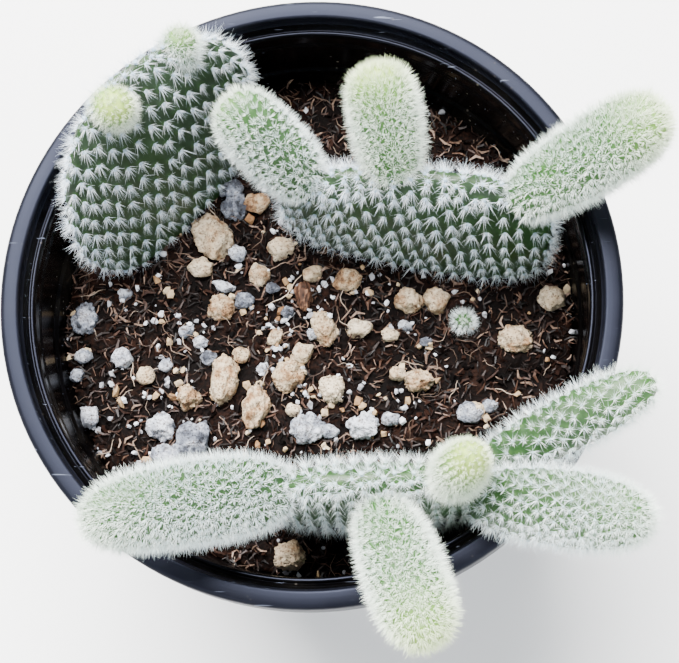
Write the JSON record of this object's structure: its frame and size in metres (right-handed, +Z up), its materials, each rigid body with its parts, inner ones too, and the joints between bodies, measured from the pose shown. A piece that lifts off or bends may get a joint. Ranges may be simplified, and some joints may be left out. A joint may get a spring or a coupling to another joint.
{
  "type": "potted bunny ears cactus",
  "caption": "Bunny ears cactus with flat pads, finger-like ears and white tufts, in a round black nursery pot of gritty soil.",
  "frame": {"origin": "centre of the pot's flat base, where it stands", "axes": "+Z up, +Y towards the back of the pot as the picture shows it, +X to the picture's right"},
  "size_m": [0.1761, 0.1765, 0.1581],
  "materials": {
    "pot_plastic": "moulded black plastic with a bluish-grey sheen and fine scratches",
    "soil": "moist dark brown peat and bark with small white and tan grains",
    "cactus_skin": "satin dark green skin with white hair tufts",
    "young_growth": "pale green skin under dense white hair",
    "pumice": "rough tan and cream pumice",
    "perlite": "matte white perlite"
  },
  "bodies": {
    "root": {"front_bud": "young_growth", "front_ear_down": "young_growth", "front_ear_left": "young_growth", "front_ear_right_back": "young_growth", "front_ear_right_front": "young_growth", "front_pad": "cactus_skin", "left_bud_back": "young_growth", "left_bud_tip": "young_growth", "left_pad": "cactus_skin", "middle_ear_centre": "young_growth", "middle_ear_left": "young_growth", "middle_ear_right": "young_growth", "middle_pad": "cactus_skin", "perlite_back": "perlite", "perlite_cluster": "perlite", "perlite_edge": "perlite", "perlite_grey": "perlite", "perlite_stone": "perlite", "perlite_west": "perlite", "pot": "pot_plastic", "pumice_bark_side": "pumice", "pumice_cluster": "pumice", "pumice_corner": "pumice", "pumice_front": "pumice", "pumice_long": "pumice", "pumice_middle": "pumice", "pumice_round": "pumice", "pumice_small": "pumice", "pumice_south": "pumice", "pumice_step": "pumice", "pumice_tall": "pumice", "pumice_west": "pumice", "seedling": "young_growth", "soil": "soil"}
  },
  "joints": []
}
